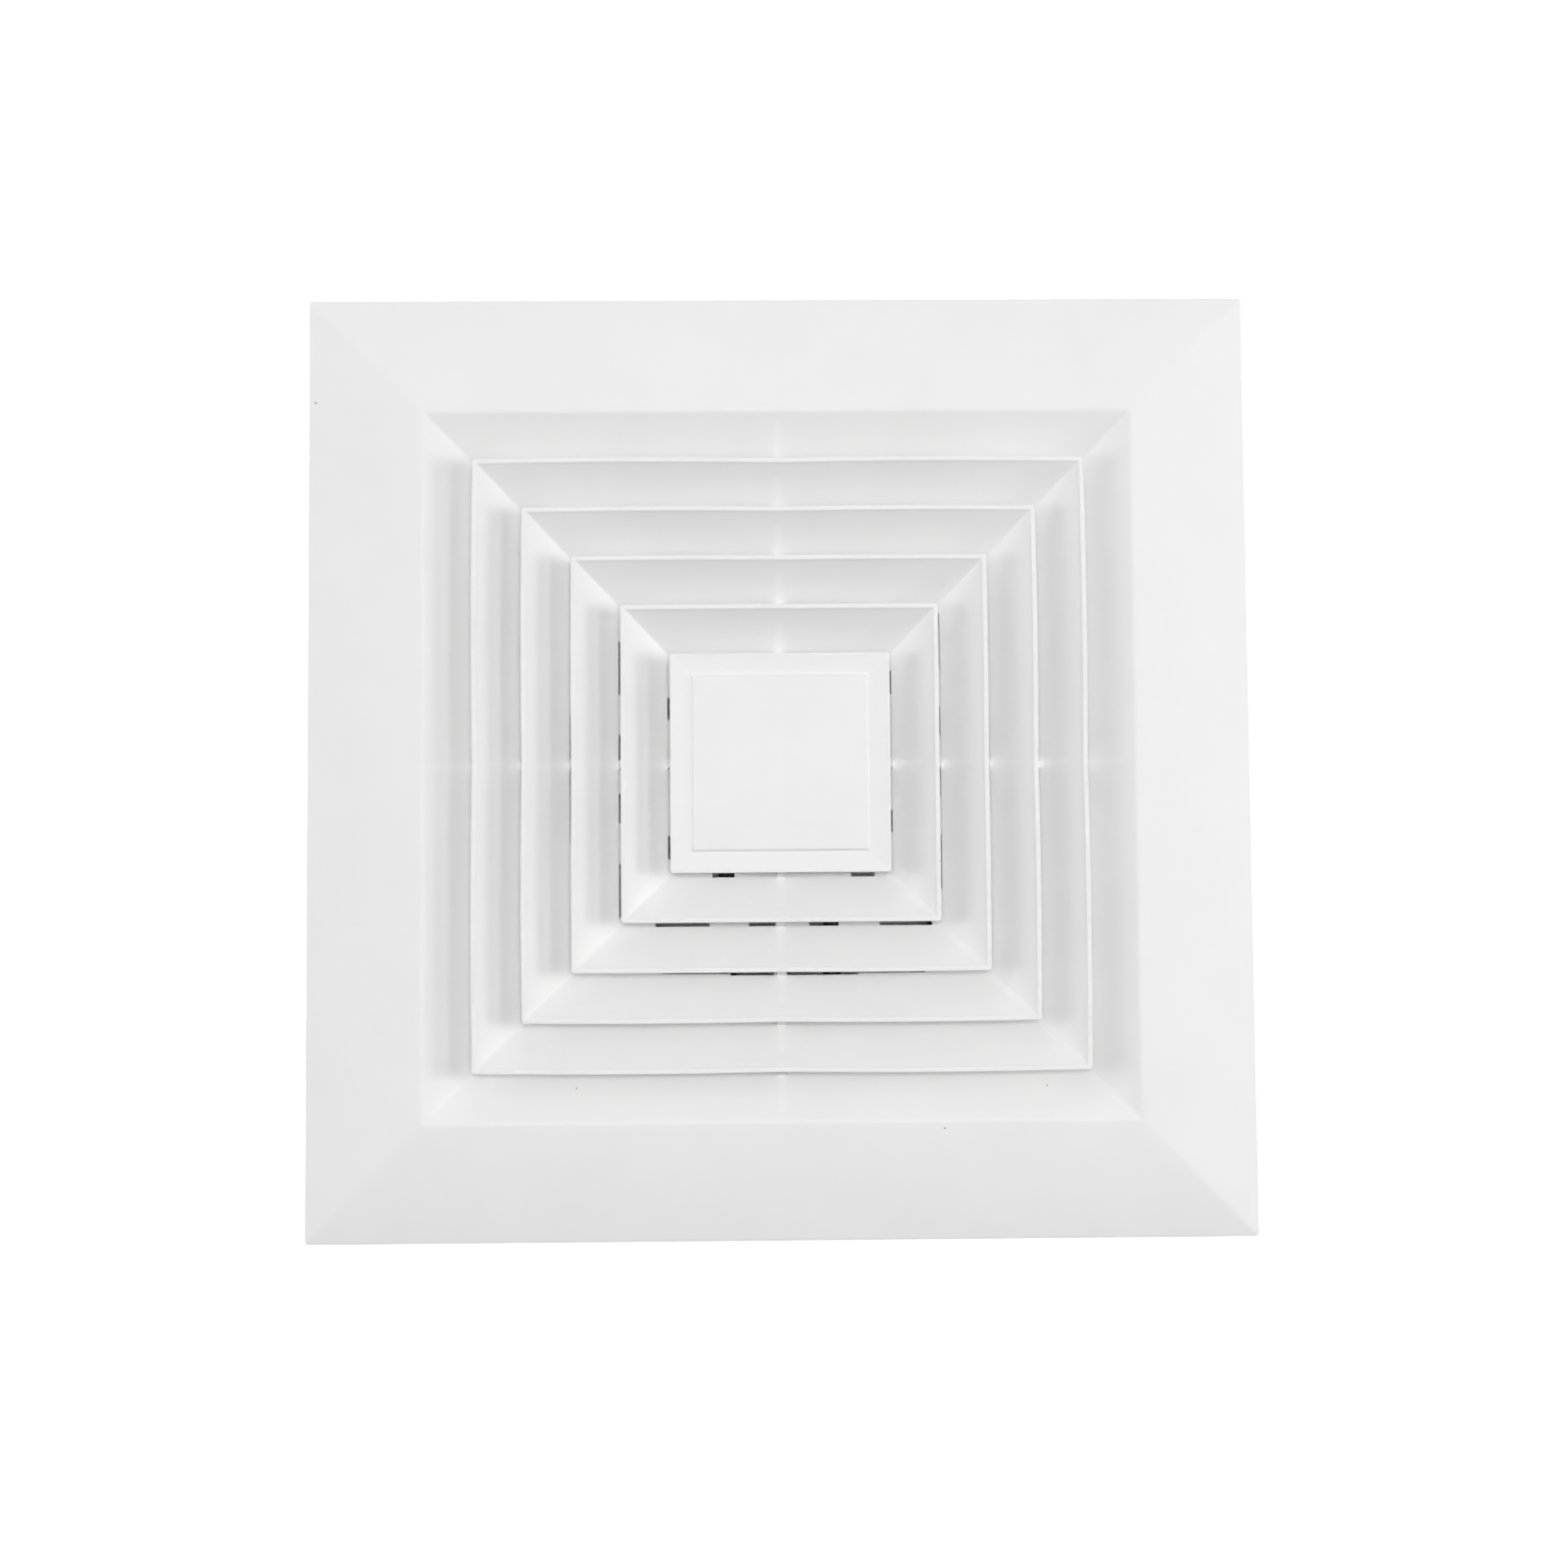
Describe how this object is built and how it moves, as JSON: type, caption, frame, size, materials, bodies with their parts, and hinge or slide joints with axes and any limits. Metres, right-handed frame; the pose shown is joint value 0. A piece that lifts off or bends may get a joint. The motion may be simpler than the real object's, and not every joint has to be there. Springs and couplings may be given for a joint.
{
  "type": "ceiling air diffuser",
  "caption": "Square four-way ceiling air diffuser: sloped border, concentric louvre rings round a square cap in a lift-out core, and a geared opposed-blade damper behind.",
  "frame": {"origin": "middle of the plane where the border meets the ceiling", "axes": "+Z out of the face, pointing down into the room once fitted; +Y towards the damper's gear end; +X across the blades"},
  "size_m": [0.395, 0.395, 0.101],
  "materials": {
    "white_plastic": "satin injection-moulded ABS",
    "gasket_foam": "closed-cell foam strip",
    "black_sheet": "matt black powder-coated sheet steel",
    "black_plastic": "matt black ABS extrusion",
    "nylon": "natural nylon, moulded",
    "screw_steel": "zinc-plated steel",
    "spring_steel": "bright stainless spring strip",
    "rivet_metal": "aluminium blind rivets"
  },
  "bodies": {
    "frame": {"face_frame": "white_plastic", "foam_gasket": "gasket_foam", "casing_side_right": "black_sheet", "casing_side_left": "black_sheet", "casing_side_back": "black_sheet", "casing_side_front": "black_sheet", "corner_brackets": "black_sheet", "bracket_rivets": "rivet_metal", "neck_screws": "screw_steel", "seal_strip_right": "black_sheet", "seal_strip_left": "black_sheet", "blade_bushes": "nylon"},
    "core": {"louvre_ring_1": "white_plastic", "louvre_ring_2": "white_plastic", "louvre_ring_3": "white_plastic", "louvre_ring_4": "white_plastic", "centre_cap": "white_plastic", "core_hub": "white_plastic", "support_arm_right": "white_plastic", "support_arm_back": "white_plastic", "support_arm_left": "white_plastic", "support_arm_front": "white_plastic", "cap_screw": "screw_steel", "spring_clips": "spring_steel", "clip_rivets": "rivet_metal"},
    "blade_1": {"damper_blade_1": "black_plastic", "blade_pins_1": "screw_steel", "blade_gear_1": "nylon"},
    "blade_2": {"damper_blade_2": "black_plastic", "blade_pins_2": "screw_steel", "blade_gear_2": "nylon"},
    "blade_3": {"damper_blade_3": "black_plastic", "blade_pins_3": "screw_steel", "blade_gear_3": "nylon", "damper_lever": "screw_steel", "lever_rivets": "rivet_metal"},
    "blade_4": {"damper_blade_4": "black_plastic", "blade_pins_4": "screw_steel", "blade_gear_4": "nylon"},
    "blade_5": {"damper_blade_5": "black_plastic", "blade_pins_5": "screw_steel", "blade_gear_5": "nylon"},
    "blade_6": {"damper_blade_6": "black_plastic", "blade_pins_6": "screw_steel", "blade_gear_6": "nylon"}
  },
  "joints": [
    {"name": "core_lift", "type": "slide", "parent": "frame", "child": "core", "axis": [0, 0, 1], "range_m": [0, 0.05]},
    {"name": "blade_turn_3", "type": "hinge", "parent": "frame", "child": "blade_3", "pos_m": [-0.023, 0, -0.058], "axis": [0, 1, 0], "range_deg": [0, 90]},
    {"name": "blade_turn_1", "type": "hinge", "parent": "frame", "child": "blade_1", "pos_m": [-0.115, 0, -0.058], "axis": [0, 1, 0], "range_deg": [0, 90]},
    {"name": "blade_turn_2", "type": "hinge", "parent": "frame", "child": "blade_2", "pos_m": [-0.069, 0, -0.058], "axis": [0, 1, 0], "range_deg": [-90, 0]},
    {"name": "blade_turn_4", "type": "hinge", "parent": "frame", "child": "blade_4", "pos_m": [0.023, 0, -0.058], "axis": [0, 1, 0], "range_deg": [-90, 0]},
    {"name": "blade_turn_5", "type": "hinge", "parent": "frame", "child": "blade_5", "pos_m": [0.069, 0, -0.058], "axis": [0, 1, 0], "range_deg": [0, 90]},
    {"name": "blade_turn_6", "type": "hinge", "parent": "frame", "child": "blade_6", "pos_m": [0.115, 0, -0.058], "axis": [0, 1, 0], "range_deg": [-90, 0]}
  ],
  "couplings": [
    {"joint": "blade_turn_1", "follows": "blade_turn_3", "ratio": 1},
    {"joint": "blade_turn_2", "follows": "blade_turn_3", "ratio": -1},
    {"joint": "blade_turn_4", "follows": "blade_turn_3", "ratio": -1},
    {"joint": "blade_turn_5", "follows": "blade_turn_3", "ratio": 1},
    {"joint": "blade_turn_6", "follows": "blade_turn_3", "ratio": -1}
  ]
}
